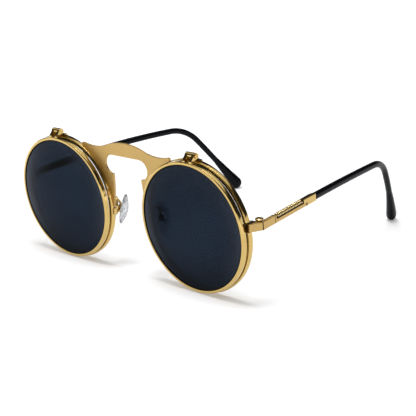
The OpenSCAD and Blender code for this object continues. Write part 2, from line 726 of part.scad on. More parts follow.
// Soldered foot, bent wire, and a drilled tongue between the cheeks of the pad's box
module pad_arm() {
    n = len(arm_route) - 1;
    color(gold) difference() {
        union() {
            at_rear() rim_band(arm_foot_from, arm_foot_to, arm_foot_t, 0.5, arm_depth + arm_r);
            at_pad() translate([pad_pin_x, 0, 0]) {
                rotate([90, 0, 0]) cylinder(r = pad_tongue_r, h = pad_tongue_t, center = true);
                translate([-0.3, -pad_tongue_t / 2, 0]) cube([0.6, pad_tongue_t, pad_tongue_h]);
            }
            skin([for (i = [0 : n]) let (
                    ahead = arm_route[min(i + 1, n)] - arm_route[max(i - 1, 0)],
                    unit = ahead / norm(ahead),
                    side = cross(unit, [1, 0, 0]) / norm(cross(unit, [1, 0, 0])),
                    up = cross(side, unit))
                [for (k = [0 : arm_sides - 1])
                    arm_route[i] + arm_r * (cos(360 * k / arm_sides) * side + sin(360 * k / arm_sides) * up)]]);
        }
        at_pad() translate([pad_pin_x, 0, 0]) rotate([90, 0, 0])
            cylinder(r = pad_screw_r + running_gap, h = 2 * pad_box_w, center = true);
    }
}

// Egg shaped outline of a pad, narrower at the top
function pad_outline() = [for (a = [0 : 12 : 348])
    [pad_w / 2 * cos(a) * (1 - 0.12 * sin(a)), pad_h / 2 * sin(a)]];

// Soft pad with a domed face toward the nose
module nose_pad() {
    color(silicone) at_pad() intersection() {
        translate([-pad_t - solder_gap, 0, 0]) rotate([90, 0, 90]) linear_extrude(pad_t) polygon(pad_outline());
        translate([pad_dome_r - pad_t - solder_gap, 0, 0]) sphere(r = pad_dome_r, $fn = 120);
    }
}

// Metal box on the back of a pad, open toward the frame for the arm's tongue
module pad_box() {
    color(gold) at_pad() difference() {
        translate([0, -pad_box_w / 2, -pad_box_h / 2]) cube([pad_box_d, pad_box_w, pad_box_h]);
        translate([pad_box_floor, -pad_tongue_t / 2 - side_gap, -pad_box_h])
            cube([pad_box_d, pad_tongue_t + 2 * side_gap, 2 * pad_box_h]);
        translate([pad_pin_x, 0, 0]) rotate([90, 0, 0])
            cylinder(r = pad_screw_r + running_gap, h = 2 * pad_box_w, center = true);
    }
}

module pad_screw() {
    color(gold) at_pad() translate([pad_pin_x, 0, 0]) rotate([90, 0, 0]) {
        translate([0, 0, -pad_box_w / 2]) cylinder(r = pad_screw_r, h = pad_box_w + 0.1);
        translate([0, 0, pad_box_w / 2 + solder_gap]) cylinder(r = pad_screw_r + 0.25, h = 0.3);
    }
}

left() bridge_plate();
left() rear_rim();  // rear_rim_left
right() rear_rim();  // rear_rim_right
left() clear_lens();  // clear_lens_left
right() clear_lens();  // clear_lens_right
left() flip_hinge_base();  // flip_hinge_base_left
right() flip_hinge_base();  // flip_hinge_base_right
left() flip_stop();  // flip_stop_left
right() flip_stop();  // flip_stop_right
left() end_piece();  // end_piece_left
right() end_piece();  // end_piece_right
left() rim_lock();  // rim_lock_left
right() rim_lock();  // rim_lock_right
left() lock_screw();  // lock_screw_left
right() lock_screw();  // lock_screw_right
left() hinge_screw();  // hinge_screw_left
right() hinge_screw();  // hinge_screw_right
left() pad_arm();  // pad_arm_left
right() pad_arm();  // pad_arm_right
left() flip_rim();  // flip_rim_left
right() flip_rim();  // flip_rim_right
left() dark_lens();  // dark_lens_left
right() dark_lens();  // dark_lens_right
left() flip_hinge_yoke();  // flip_hinge_yoke_left
right() flip_hinge_yoke();  // flip_hinge_yoke_right
left() flip_screw();  // flip_screw_left
right() flip_screw();  // flip_screw_right
left() temple_bar();  // temple_bar_left
right() temple_bar();  // temple_bar_right
left() spring();  // spring_left
right() spring();  // spring_right
left() spring_rod();  // spring_rod_left
right() spring_rod();  // spring_rod_right
left() ferrule();  // ferrule_left
right() ferrule();  // ferrule_right
left() core_wire();  // core_wire_left
right() core_wire();  // core_wire_right
left() sleeve();  // sleeve_left
right() sleeve();  // sleeve_right
left() nose_pad();  // nose_pad_left
right() nose_pad();  // nose_pad_right
left() pad_box();  // pad_box_left
right() pad_box();  // pad_box_right
left() pad_screw();  // pad_screw_left
right() pad_screw();  // pad_screw_right
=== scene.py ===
# %% [markdown]
# # Flip up sunglasses: the looks
# The solids come from the imported model, and each one already stands where it belongs. This lesson
# dresses them: metal edges get the tiny round that catches light, wires and rims are swept again
# with more rounds, and every surface gets a finish made of shader nodes. The imported model is loaded
# first.

# %% Load the imported model
import json
import math

import bmesh
import bpy
import numpy as np
from mathutils import Matrix, Vector

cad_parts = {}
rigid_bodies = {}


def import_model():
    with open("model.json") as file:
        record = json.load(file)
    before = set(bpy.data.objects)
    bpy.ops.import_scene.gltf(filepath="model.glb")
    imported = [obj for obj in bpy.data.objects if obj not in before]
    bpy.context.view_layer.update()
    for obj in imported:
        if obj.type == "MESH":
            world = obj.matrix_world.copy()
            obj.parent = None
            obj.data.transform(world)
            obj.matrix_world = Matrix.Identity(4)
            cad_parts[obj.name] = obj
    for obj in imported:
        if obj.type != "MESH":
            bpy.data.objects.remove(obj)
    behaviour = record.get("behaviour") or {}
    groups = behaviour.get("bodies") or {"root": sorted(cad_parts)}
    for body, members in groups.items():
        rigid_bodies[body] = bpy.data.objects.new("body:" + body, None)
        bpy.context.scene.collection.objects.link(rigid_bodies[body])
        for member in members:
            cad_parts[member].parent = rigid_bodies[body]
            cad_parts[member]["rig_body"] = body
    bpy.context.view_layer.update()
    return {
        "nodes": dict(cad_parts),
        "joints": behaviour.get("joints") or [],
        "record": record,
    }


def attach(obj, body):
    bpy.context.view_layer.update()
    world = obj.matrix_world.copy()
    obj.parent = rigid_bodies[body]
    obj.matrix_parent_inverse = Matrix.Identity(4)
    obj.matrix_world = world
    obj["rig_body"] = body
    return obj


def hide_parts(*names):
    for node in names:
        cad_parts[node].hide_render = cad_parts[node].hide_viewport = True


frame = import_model()
MM = 0.001
joints = {j["name"]: j for j in frame["joints"]}
body_of = {n: o["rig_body"] for n, o in frame["nodes"].items()}
scene = bpy.context.scene

# %% [markdown]
# ## The places that everything is measured from
# The temple hinge is a joint of the model, so its place is read from it, and the front plane lies a
# fixed way before it. Two leaning frames follow: one for the rear rims, and one for the flip rims,
# which lean one degree more. A temple bar and a nose pad have frames of their own.

# %% Frames of reference
SIDES = {"left": 1, "right": -1}
HINGE = Vector(joints["temple_hinge_left"]["pos_m"])
HINGE_BEHIND_FRONT = 8.0 * MM
REAR_BEHIND_FRONT = 2.9 * MM
FRONT_Y = HINGE.y - HINGE_BEHIND_FRONT
REAR_Y = FRONT_Y + REAR_BEHIND_FRONT
LENS_X = 37.6 * MM
RING_Z = 27.144 * MM
OPENING_R = 25.6 * MM
REAR_LEAN = math.radians(3.1)
FLIP_LEAN = math.radians(4.1)
BAR_TURNS = ((2.7, "Z"), (4.6, "X"))
PAD_TURNS = ((-32.0, "Z"), (-12.9, "Y"))
PIN_OUT, PIN_BEHIND_FRONT, PIN_BELOW_RING = 11.5 * MM, 9.5 * MM, 2.75 * MM


def leaning(y, lean):
    """Frame at the middle of a left rim's front: X sideways, Y back through the lens, Z up."""
    return Matrix.Translation((LENS_X, y, RING_Z)) @ Matrix.Rotation(lean, 4, "X")


AT_REAR = leaning(REAR_Y, REAR_LEAN)
AT_FLIP = leaning(FRONT_Y, FLIP_LEAN)
MIRROR = Matrix.Scale(-1, 4, (1, 0, 0))


def turned(place_at, steps):
    """Frame at a place, after turns given as (degrees, axis)."""
    made = Matrix.Translation(place_at)
    for degrees, axis in steps:
        made = made @ Matrix.Rotation(math.radians(degrees), 4, axis)
    return made


BAR = turned(HINGE, BAR_TURNS)
PAD_PIN = Vector((PIN_OUT, FRONT_Y + PIN_BEHIND_FRONT, RING_Z - PIN_BELOW_RING))
AT_PAD = turned(PAD_PIN, PAD_TURNS)
print("front plane at y", round(FRONT_Y, 5))

# %% [markdown]
# ## Shader sums written as sums
# A finish is easier to read when its maths looks like maths. This small class wraps one output of a
# node, and each operator adds the Math node for it. One more method places any other node, sets its
# options first and then fills its inputs with numbers or with links.

# %% Helper: values and nodes of a material
class Value:
    """A number given by a node's output, which can be added, multiplied and so on."""

    def __init__(self, finish, socket):
        self.finish = finish
        self.socket = socket

    def maths(self, operation, first, second):
        settings = {"operation": operation}
        return self.finish.node("ShaderNodeMath", settings, {0: first, 1: second})["Value"]

    def __add__(self, other):
        return self.maths("ADD", self, other)

    def __sub__(self, other):
        return self.maths("SUBTRACT", self, other)

    def __mul__(self, other):
        return self.maths("MULTIPLY", self, other)

    def __rsub__(self, other):
        return self.maths("SUBTRACT", other, self)

    def at_most(self, other):
        return self.maths("MINIMUM", self, other)

    def over(self, other):
        return self.maths("GREATER_THAN", self, other)

    def root(self):
        return self.maths("SQRT", self, 0.0)

    def between(self, low, high):
        """0 below the first value, 1 above the second, and a straight rise between them."""
        values = {"Value": self, "From Min": low, "From Max": high}
        return self.finish.node("ShaderNodeMapRange", {}, values)["Result"]

    def near(self, other, reach):
        """1 where the value is within reach of the other, and 0 elsewhere."""
        gap = self.maths("ABSOLUTE", self - other, 0.0)
        return self.maths("LESS_THAN", gap, reach)


class Node:
    """A node whose outputs are read by name, each as a Value."""

    def __init__(self, finish, node):
        self.finish = finish
        self.node = node

    def __getitem__(self, name):
        return Value(self.finish, self.node.outputs[name])


class Finish:
    """A node tree under construction, for a material or for the world."""

    def __init__(self, owner):
        owner.use_nodes = True
        self.owner = owner
        self.tree = owner.node_tree
        self.tree.nodes.clear()

    def node(self, kind, settings=None, values=None):
        made = self.tree.nodes.new(kind)
        for name, value in (settings or {}).items():
            if name == "stops":
                self.fill_ramp(made.color_ramp, value)
            else:
                setattr(made, name, value)
        for name, value in (values or {}).items():
            if isinstance(value, Value):
                self.tree.links.new(value.socket, made.inputs[name])
            else:
                made.inputs[name].default_value = value
        return Node(self, made)

    def fill_ramp(self, ramp, stops):
        while len(ramp.elements) < len(stops):
            ramp.elements.new(1.0)
        for element, (position, colour) in zip(ramp.elements, stops):
            element.position = position
            element.color = colour

    def blend(self, factor, first, second):
        mix = self.node("ShaderNodeMix", {"data_type": "RGBA"}, {"Factor": factor})
        for index, colour in ((6, first), (7, second)):
            if isinstance(colour, Value):
                self.tree.links.new(colour.socket, mix.node.inputs[index])
            else:
                mix.node.inputs[index].default_value = (*colour, 1.0)
        return Value(self, mix.node.outputs[2])

    def noise(self, scale, stretch=(1, 1, 1), detail=3.0):
        """Noise in object space, from waves per metre and a stretch along each axis."""
        at = self.node("ShaderNodeTexCoord")["Object"]
        spread = self.node("ShaderNodeMapping", {}, {"Vector": at, "Scale": stretch})["Vector"]
        values = {"Vector": spread, "Scale": scale, "Detail": detail}
        return self.node("ShaderNodeTexNoise", {}, values)["Fac"]

    def along(self, frame_at, axis):
        """Distance along one axis of a frame on the left, and the same on the right by symmetry."""
        at = self.node("ShaderNodeTexCoord")["Object"]
        split = self.node("ShaderNodeSeparateXYZ", {}, {"Vector": at})
        side = split["X"].maths("ABSOLUTE", split["X"], 0.0)
        aim = frame_at.to_3x3().col[axis]
        start = frame_at.translation.dot(aim)
        return side * aim.x + split["Y"] * aim.y + split["Z"] * aim.z - start

    def radius_in(self, frame_at):
        """Distance from the middle of a rim or lens, measured in its own plane."""
        sideways, upward = self.along(frame_at, 0), self.along(frame_at, 2)
        return (sideways * sideways + upward * upward).root()

    def bump(self, height, distance, strength):
        values = {"Height": height, "Distance": distance, "Strength": strength}
        return self.node("ShaderNodeBump", {}, values)["Normal"]

    def surface(self, shader):
        self.node("ShaderNodeOutputMaterial", {}, {"Surface": shader})
        return self.owner

    def metal(self, colour, roughness, normal):
        """A metal surface, which all the golds and the steel share."""
        shader = self.node("ShaderNodeBsdfPrincipled", {}, {
            "Base Color": colour, "Metallic": 1.0, "Roughness": roughness, "Normal": normal})
        return self.surface(shader["BSDF"])


def new_finish(name):
    return Finish(bpy.data.materials.new(name))


FINISHES = {}
print("helpers ready")

# %% [markdown]
# ## Satin gold of the stamped parts
# The plate, end pieces and temple bars are plated brass with a fine satin surface. Satin comes from
# countless tiny pits and brush lines, so a stretched fine noise drives the roughness and a shallow
# bump, and a broad noise moves the colour a little between straw and deeper gold. Dark lines mark
# the hinge's seam, an engraved line and the shade under the spring.

# %% Finish: satin gold
SEAM_AT, ENGRAVED_AT, STEP_AT, FERRULE_AT = -0.72 * MM, 6.72 * MM, 7.62 * MM, 27.05 * MM
BAR_SIDE = -2.0 * MM


def bar_lines(f):
    """1 on a temple bar's hinge seam and engraved line, and in the shade under its spring."""
    sideways, length, height = (f.along(BAR, axis) for axis in range(3))
    seam = length.near(SEAM_AT, 0.20 * MM) * sideways.over(0.2 * MM)
    engraved = length.near(ENGRAVED_AT, 0.16 * MM)
    shade = length.over(STEP_AT) * height.over(-0.14 * MM)
    return (seam + engraved + shade).at_most(1.0) * sideways.over(BAR_SIDE)


def satin_gold():
    f = new_finish("satin_gold")
    broad = f.noise(90.0, detail=2.0)
    grain = f.noise(4200.0, stretch=(0.25, 1, 1), detail=4.0)
    clean = f.blend(broad, (0.538, 0.364, 0.136), (0.600, 0.416, 0.158))
    colour = f.blend(bar_lines(f) * 0.92, clean, (0.035, 0.022, 0.008))
    return f.metal(colour, grain * 0.14 + 0.42, f.bump(grain, 0.02 * MM, 0.5))


FINISHES["satin_gold"] = satin_gold()

# %% [markdown]
# ## Polished gold of the rims and small parts
# Rims are turned and polished, then plated, so they mirror the room with only a faint softness.
# Handling leaves soft cloudy marks, which show as slow changes in roughness, and hairline polish
# marks, which show as fine stretched noise. The inner wall of a flip rim lies in the shade of its
# lens, and a ferrule has a dark joint line on its lower half.

# %% Finish: polished gold
def polished_gold():
    f = new_finish("polished_gold")
    cloud = f.noise(260.0, detail=3.0)
    hairlines = f.noise(5200.0, stretch=(1, 0.2, 1), detail=3.0)
    clean = f.blend(cloud, (0.565, 0.392, 0.130), (0.650, 0.472, 0.180))
    on_bar = f.along(BAR, 0).over(BAR_SIDE) * (1.0 - f.along(BAR, 2).over(0.1 * MM))
    joint = f.along(BAR, 1).near(FERRULE_AT, 0.15 * MM) * on_bar
    inner_wall = 1.0 - f.radius_in(AT_FLIP).between(25.64 * MM, 25.74 * MM)
    on_flip_rim = 1.0 - f.along(AT_FLIP, 1).over(2.4 * MM)
    dark = (joint + inner_wall * on_flip_rim).at_most(1.0)
    colour = f.blend(dark * 0.9, clean, (0.04, 0.025, 0.01))
    roughness = cloud * 0.05 + hairlines * 0.03 + 0.05
    return f.metal(colour, roughness, f.bump(hairlines, 0.008 * MM, 0.15))


FINISHES["polished_gold"] = polished_gold()

# %% [markdown]
# ## Darker gold round the joints
# Plating wears and dirt gathers where parts turn on each other, so the flip hinges, stops and hinge
# screws are a shade browner. The clamps that close the rims are painted nearly black, as painted
# shade for the gap beside them. One recipe makes both, from two colours and a roughness.

# %% Finish: darker golds
def worn_and_shaded_gold(name, first, second, rough):
    f = new_finish(name)
    patches = f.noise(1500.0, detail=4.0)
    colour = f.blend(patches, first, second)
    return f.metal(colour, patches * 0.14 + rough, f.bump(patches, 0.02 * MM, 0.4))


for name, first, second, rough in (
        ("aged_gold", (0.48, 0.325, 0.105), (0.74, 0.545, 0.215), 0.08),
        # dark_gold is painted shade: the rim clamps are coloured nearly black
        ("dark_gold", (0.035, 0.024, 0.010), (0.13, 0.088, 0.034), 0.22)):
    FINISHES[name] = worn_and_shaded_gold(name, first, second, rough)

# %% [markdown]
# ## Wire of the springs, and plain steel
# Spring wire is drawn through a die, which leaves it bright with lines along it, and the underside
# of the coil is painted dark, as painted shade. The rod inside and the core of each temple are plain
# steel, seen only through gaps.

# %% Finish: spring wire and steel
def spring_gold():
    f = new_finish("spring_gold")
    lines = f.noise(6000.0, stretch=(1, 0.3, 1))
    drawn = f.blend(lines, (0.78, 0.58, 0.25), (0.88, 0.70, 0.36))
    # painted shade: the lower side of the coil is coloured dark
    painted_under_shade = 1.0 - f.along(BAR, 2).between(0.35 * MM, 0.85 * MM)
    colour = f.blend(painted_under_shade * 0.92, drawn, (0.030, 0.020, 0.008))
    return f.metal(colour, lines * 0.12 + 0.20, f.bump(lines, 0.006 * MM, 0.2))


def dark_steel():
    f = new_finish("dark_steel")
    scale = f.noise(1800.0, detail=4.0)
    colour = f.blend(scale, (0.020, 0.017, 0.014), (0.055, 0.047, 0.038))
    return f.metal(colour, scale * 0.2 + 0.3, f.bump(scale, 0.01 * MM, 0.4))


FINISHES["spring_gold"] = spring_gold()
FINISHES["dark_steel"] = dark_steel()

# %% [markdown]
# ## Lenses
# A tinted lens lets through a few parts in a hundred of the light behind it. A mix of a transparent
# shader and a dark body does that here. Light crosses the front and the back of the lens, so the
# share let through is taken twice. The body counts for more toward the edge, at a slant and at the
# bottom, where its colour carries painted light and shade: a painted reflection toward the edge, a
# painted glare at a slant, and painted shade at the bottom. The edge in the groove is painted nearly
# black, as painted shade. The clear lens behind lets nearly all light through.

# %% Finish: tinted and clear lenses
def dark_lens():
    f = new_finish("dark_lens")
    haze = f.noise(60.0, detail=2.0)
    upward = f.along(AT_FLIP, 2)
    radius = f.radius_in(AT_FLIP)
    ramp = radius.between(13.0 * MM, 24.5 * MM)
    edge = ramp * ramp
    low = 1.0 - upward.between(-22.0 * MM, -6.0 * MM)
    high = upward.between(6.0 * MM, 22.0 * MM)
    sheen = edge * upward.between(-18.0 * MM, -6.0 * MM) * (1.0 - high)
    slant = f.node("ShaderNodeLayerWeight", {}, {"Blend": 0.5})["Facing"].between(0.40, 0.48)
    painted_groove_shade = radius.between(24.95 * MM, 25.15 * MM)
    clean = f.blend(haze, (0.0180, 0.0210, 0.0320), (0.0225, 0.0260, 0.0390))
    # painted shade: the colour is darker toward the bottom of the lens
    shaded = f.blend(low, clean, (0.0022, 0.0050, 0.0100))
    # painted reflection: the colour is lighter toward the edge of the lens
    painted_edge_light = f.blend(edge * (1.0 - low * 0.7), shaded, (0.0340, 0.0480, 0.0760))
    # painted glare: the colour is lighter where the lens is seen at a slant
    painted_glare = f.blend(slant * (1.0 - low) * 0.4, painted_edge_light, (0.0950, 0.1120, 0.1550))
    # painted shade: the edge in the groove is coloured nearly black
    colour = f.blend(painted_groove_shade, painted_glare, (0.0020, 0.0020, 0.0030))
    glass = f.node("ShaderNodeBsdfPrincipled", {}, {
        "Base Color": colour, "Roughness": haze * 0.03 + 0.03, "IOR": 1.5,
        "Specular IOR Level": 0.05, "Coat Weight": sheen * (1.0 - painted_groove_shade) * 0.4,
        "Coat Roughness": 0.06})
    tint = f.node("ShaderNodeBsdfTransparent", {}, {"Color": (0.127, 0.163, 0.210, 1.0)})
    # the body's share is no thickness: it rises where the painted light and shade show
    thick = edge * 0.5 + slant * (1.0 - low) * 0.18 + low * (1.0 - edge) * 0.25
    body = (thick + painted_groove_shade + 0.12).at_most(1.0)
    shader = f.node("ShaderNodeMixShader", {}, {0: body, 1: tint["BSDF"], 2: glass["BSDF"]})
    return f.surface(shader["Shader"])


def clear_lens():
    f = new_finish("clear_lens")
    haze = f.noise(80.0, detail=2.0)
    colour = f.blend(haze, (0.55, 0.62, 0.66), (0.66, 0.72, 0.75))
    shader = f.node("ShaderNodeBsdfPrincipled", {}, {
        "Base Color": colour, "Roughness": haze * 0.02 + 0.01, "IOR": 1.5,
        "Specular IOR Level": 0.3, "Alpha": haze * 0.01 + 0.04})
    return f.surface(shader["BSDF"])


FINISHES["dark_lens"] = dark_lens()
FINISHES["clear_lens"] = clear_lens()

# %% [markdown]
# ## Black sleeves and clear pads
# The sleeves are glossy moulded plastic, so a dark base gets a clear coat with a slight waviness
# from the mould. The pads are silicone: clear enough to show the metal box behind, unevenly milky,
# and painted darker where they turn away from view, which is painted shade.

# %% Finish: sleeves and silicone
def black_sleeve():
    f = new_finish("black_sleeve")
    wave = f.noise(420.0, detail=2.0)
    speck = f.noise(6500.0, detail=2.0)
    colour = f.blend(wave, (0.0010, 0.0011, 0.0015), (0.0020, 0.0022, 0.0032))
    shader = f.node("ShaderNodeBsdfPrincipled", {}, {
        "Base Color": colour, "Roughness": speck * 0.10 + 0.20, "Specular IOR Level": 0.09,
        "Specular Tint": (0.80, 0.90, 1.0, 1.0), "Coat Weight": wave * 0.06 + 0.02,
        "Coat Roughness": 0.08, "Normal": f.bump(wave * 0.8 + speck * 0.2, 0.06 * MM, 0.35)})
    return f.surface(shader["BSDF"])


def silicone():
    f = new_finish("silicone")
    milk = f.noise(620.0, detail=3.0)
    rim = f.node("ShaderNodeLayerWeight", {}, {"Blend": 0.5})["Facing"].between(0.35, 0.80)
    cloudy = milk.between(0.42, 0.58)
    clean = f.blend(cloudy, (0.50, 0.53, 0.58), (1.0, 1.0, 1.0))
    # painted shade: the pad is darker where it turns away from view
    colour = f.blend(rim, clean, (0.05, 0.055, 0.07))
    shader = f.node("ShaderNodeBsdfPrincipled", {}, {
        "Base Color": colour, "Roughness": milk * 0.06 + 0.03, "IOR": 1.41,
        "Transmission Weight": 0.92, "Normal": f.bump(milk, 0.6 * MM, 0.8)})
    return f.surface(shader["BSDF"])


FINISHES["black_sleeve"] = black_sleeve()
FINISHES["silicone"] = silicone()

slot_of = {s["node"]: s["material_slot"] for s in frame["record"]["subparts"]}
for name, obj in frame["nodes"].items():
    obj.data.materials.clear()
    obj.data.materials.append(FINISHES[slot_of[name]])
print("finishes:", sorted(FINISHES))

# %% [markdown]
# ## Putting a finished piece in place
# Every new piece rides on the same body as the solid that it stands for. Mirroring turns faces
# inside out, so the faces of a mirrored copy are flipped. Three small helpers turn drawings and the
# work of modifiers into plain meshes.

# %% Helper: place a piece
def place(mesh, node, smooth_angle=35.0):
    """Makes the object that stands for a CAD node. With no angle, the mesh keeps its normals."""
    mesh.materials.clear()
    mesh.materials.append(FINISHES[slot_of[node]])
    if smooth_angle is not None:
        mesh.shade_smooth()
        mesh.set_sharp_from_angle(angle=math.radians(smooth_angle))
    piece = bpy.data.objects.new(node + "_shown", mesh)
    scene.collection.objects.link(piece)
    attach(piece, body_of[node])
    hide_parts(node)
    return piece


def mirrored(mesh, side):
    """The mesh itself for the left, or its mirror image with faces outward for the right."""
    made = mesh.copy()
    if SIDES[side] < 0:
        made.transform(MIRROR)
        made.flip_normals()
    return made


def drawn(bm, name):
    """A mesh of what was drawn in bmesh."""
    mesh = bpy.data.meshes.new(name)
    bm.to_mesh(mesh)
    bm.free()
    return mesh


def blank_of(data):
    """An object for modifiers to work on."""
    blank = bpy.data.objects.new("blank", data)
    scene.collection.objects.link(blank)
    return blank


def worked(blank):
    """The plain mesh that the modifiers of a blank make. The blank itself goes."""
    view = bpy.context.evaluated_depsgraph_get()
    result = bpy.data.meshes.new_from_object(blank.evaluated_get(view))
    bpy.data.objects.remove(blank)
    return result


print("ready to place pieces")

# %% [markdown]
# ## Soft edges on the cut and stamped parts
# No real edge is perfectly sharp, and the thin bright line along an edge is what makes metal look
# like metal. Each solid is copied, its loose triangles are joined, flat areas are cleared of inner
# edges, and a small bevel follows every edge that turns by more than 30 degrees.

# %% Soften the metal parts
SHARP = math.radians(30)
FLAT = math.radians(0.6)
CAD_DOUBLES = 1e-6


def softened(node, width):
    mesh = frame["nodes"][node].data.copy()
    bm = bmesh.new()
    bm.from_mesh(mesh)
    bmesh.ops.remove_doubles(bm, verts=bm.verts, dist=CAD_DOUBLES)
    bmesh.ops.dissolve_limit(bm, angle_limit=FLAT, verts=bm.verts, edges=bm.edges)
    bm.to_mesh(mesh)
    bm.free()
    mesh.shade_smooth()
    mesh.set_sharp_from_angle(angle=SHARP)
    blank = blank_of(mesh)
    bevel = blank.modifiers.new("edge", "BEVEL")
    bevel.harden_normals = True
    bevel.width = width
    bevel.segments = 2
    bevel.limit_method = "ANGLE"
    bevel.angle_limit = SHARP
    bevel.use_clamp_overlap = True
    return worked(blank)


EDGE = {"bridge_plate": 0.10, "end_piece": 0.10, "rim_lock": 0.08, "temple_bar": 0.10,
        "ferrule": 0.12, "flip_hinge_base": 0.08, "flip_hinge_yoke": 0.10, "flip_stop": 0.08,
        "pad_box": 0.08, "lock_screw": 0.05, "hinge_screw": 0.06, "flip_screw": 0.05,
        "pad_screw": 0.04}
softened_count = 0
for node in frame["nodes"]:
    stem = node.rsplit("_", 1)[0] if node.endswith(("_left", "_right")) else node
    if stem in EDGE:
        place(softened(node, EDGE[stem] * MM), node, None)
        softened_count += 1
print("softened", softened_count, "metal parts")

# %% [markdown]
# ## Rims and lenses as turned parts
# A rim is a profile carried round a circle, which is what Curve to Mesh does in Geometry Nodes. The
# profile is drawn as a short list of corners, Fillet Curve rounds them, and the tree's inputs hold
# the radius and the number of steps, so one tree makes all four rims. The springs and the pads'
# wires use trees that open and close in the same way, so helpers draw those parts.

# %% Tree: sweep a profile round a circle
def new_tree(name, source, numbers, result):
    """An empty tree with a geometry input, number inputs, a finish and a geometry output."""
    tree = bpy.data.node_groups.new(name, "GeometryNodeTree")
    face = tree.interface
    face.new_socket(source, in_out="INPUT", socket_type="NodeSocketGeometry")
    for label, kind, value in numbers:
        socket = face.new_socket(label, in_out="INPUT", socket_type="NodeSocket" + kind)
        socket.default_value = value
    face.new_socket("Finish", in_out="INPUT", socket_type="NodeSocketMaterial")
    face.new_socket(result, in_out="OUTPUT", socket_type="NodeSocketGeometry")
    return tree, tree.nodes.new("NodeGroupInput")


def join(tree, source, output, target, entry):
    tree.links.new(source.outputs[output], target.inputs[entry])


def close_tree(tree, given, sweep, result):
    """Makes the swept mesh real, gives it the finish and hands it to the output."""
    real = tree.nodes.new("GeometryNodeRealizeInstances")
    paint = tree.nodes.new("GeometryNodeSetMaterial")
    out = tree.nodes.new("NodeGroupOutput")
    join(tree, sweep, "Mesh", real, "Geometry")
    join(tree, real, "Geometry", paint, "Geometry")
    join(tree, given, "Finish", paint, "Material")
    join(tree, paint, "Geometry", out, result)
    return tree


def build_rim_tree():
    numbers = (("Radius", "Float", 0.025), ("Steps", "Int", 256), ("Edge round", "Float", 0.0001))
    tree, given = new_tree("swept_rim", "Profile", numbers, "Rim")
    circle = tree.nodes.new("GeometryNodeCurvePrimitiveCircle")
    join(tree, given, "Steps", circle, "Resolution")
    join(tree, given, "Radius", circle, "Radius")
    fillet = tree.nodes.new("GeometryNodeFilletCurve")
    fillet.mode = "POLY"
    fillet.inputs["Count"].default_value = 3
    fillet.inputs["Limit Radius"].default_value = True
    join(tree, given, "Profile", fillet, "Curve")
    join(tree, given, "Edge round", fillet, "Radius")
    sweep = tree.nodes.new("GeometryNodeCurveToMesh")
    join(tree, circle, "Curve", sweep, "Curve")
    join(tree, fillet, "Curve", sweep, "Profile Curve")
    return close_tree(tree, given, sweep, "Rim")


RIM_TREE = build_rim_tree()


def run_tree(tree, source, inputs):
    """Runs a tree on a curve or mesh and returns the plain mesh that it makes."""
    blank = blank_of(source)
    modifier = blank.modifiers.new("tree", "NODES")
    modifier.node_group = tree
    for item in tree.interface.items_tree:
        if item.item_type == "SOCKET" and item.in_out == "INPUT" and item.name in inputs:
            modifier[item.identifier] = inputs[item.name]
    return worked(blank)


def poly_curve(points, closed=True):
    curve = bpy.data.curves.new("outline", "CURVE")
    curve.dimensions = "3D"
    line = curve.splines.new("POLY")
    line.points.add(len(points) - 1)
    for point, place_at in zip(line.points, points):
        point.co = (*place_at, 1.0)
    line.use_cyclic_u = closed
    return curve


print("tree inputs:", [i.name for i in RIM_TREE.interface.items_tree])

# %% [markdown]
# The profile's corners are given as the distance outside the opening and the depth from the rim's
# front. Steps inside the opening draw the groove that holds the lens. Curve to Mesh lays the
# profile's Y against the depth, so depths go in with a minus sign, and the finished ring is
# measured to make sure of it.

# %% Make the four rims
RIMS = {"rear_rim": dict(wall=1.6, depth=2.2, bevel=0.3, lens=1.3, at=AT_REAR),
        "flip_rim": dict(wall=1.2, depth=2.1, bevel=0.3, lens=1.2, at=AT_FLIP)}
TURN_BACK = Matrix.Rotation(math.radians(-90), 4, "X")
LENS_PLAY = 0.24
SEAT = 0.66
RIM_STEPS = 288
RIM_ROUND = 0.07 * MM
TOLERANCE = 0.1 * MM
DOUBLES = 1e-7


def rim_profile(wall, depth, bevel, lens):
    """Corners as (distance outside the opening, depth from the front), in mm."""
    half_groove = (lens + LENS_PLAY) / 2
    ahead, behind = depth / 2 - half_groove, depth / 2 + half_groove
    return [(0, 0), (wall - bevel, 0), (wall, bevel), (wall, depth - bevel), (wall - bevel, depth),
            (0, depth), (0, behind), (SEAT, behind), (SEAT, ahead), (0, ahead)]


def outward(mesh):
    """Merges doubles and turns every face of a closed mesh outward."""
    bm = bmesh.new()
    bm.from_mesh(mesh)
    bmesh.ops.remove_doubles(bm, verts=bm.verts, dist=DOUBLES)
    bmesh.ops.recalc_face_normals(bm, faces=bm.faces)
    bm.to_mesh(mesh)
    bm.free()
    return mesh


def bridge(bm, here, there):
    """Joins two rings of points with a band of faces."""
    count = len(here)
    for k in range(count):
        bm.faces.new((here[k], here[(k + 1) % count], there[(k + 1) % count], there[k]))


def lathe(profile, steps):
    """Turns a closed profile of (radius, depth) points in mm round the depth axis."""
    bm = bmesh.new()
    rings = []
    for step in range(steps):
        angle = 2 * math.pi * step / steps
        c, s = math.cos(angle), math.sin(angle)
        rings.append([bm.verts.new((r * MM * c, r * MM * s, d * MM)) for r, d in profile])
    for here, there in zip(rings, rings[1:] + rings[:1]):
        bridge(bm, here, there)
    return drawn(bm, "turned")


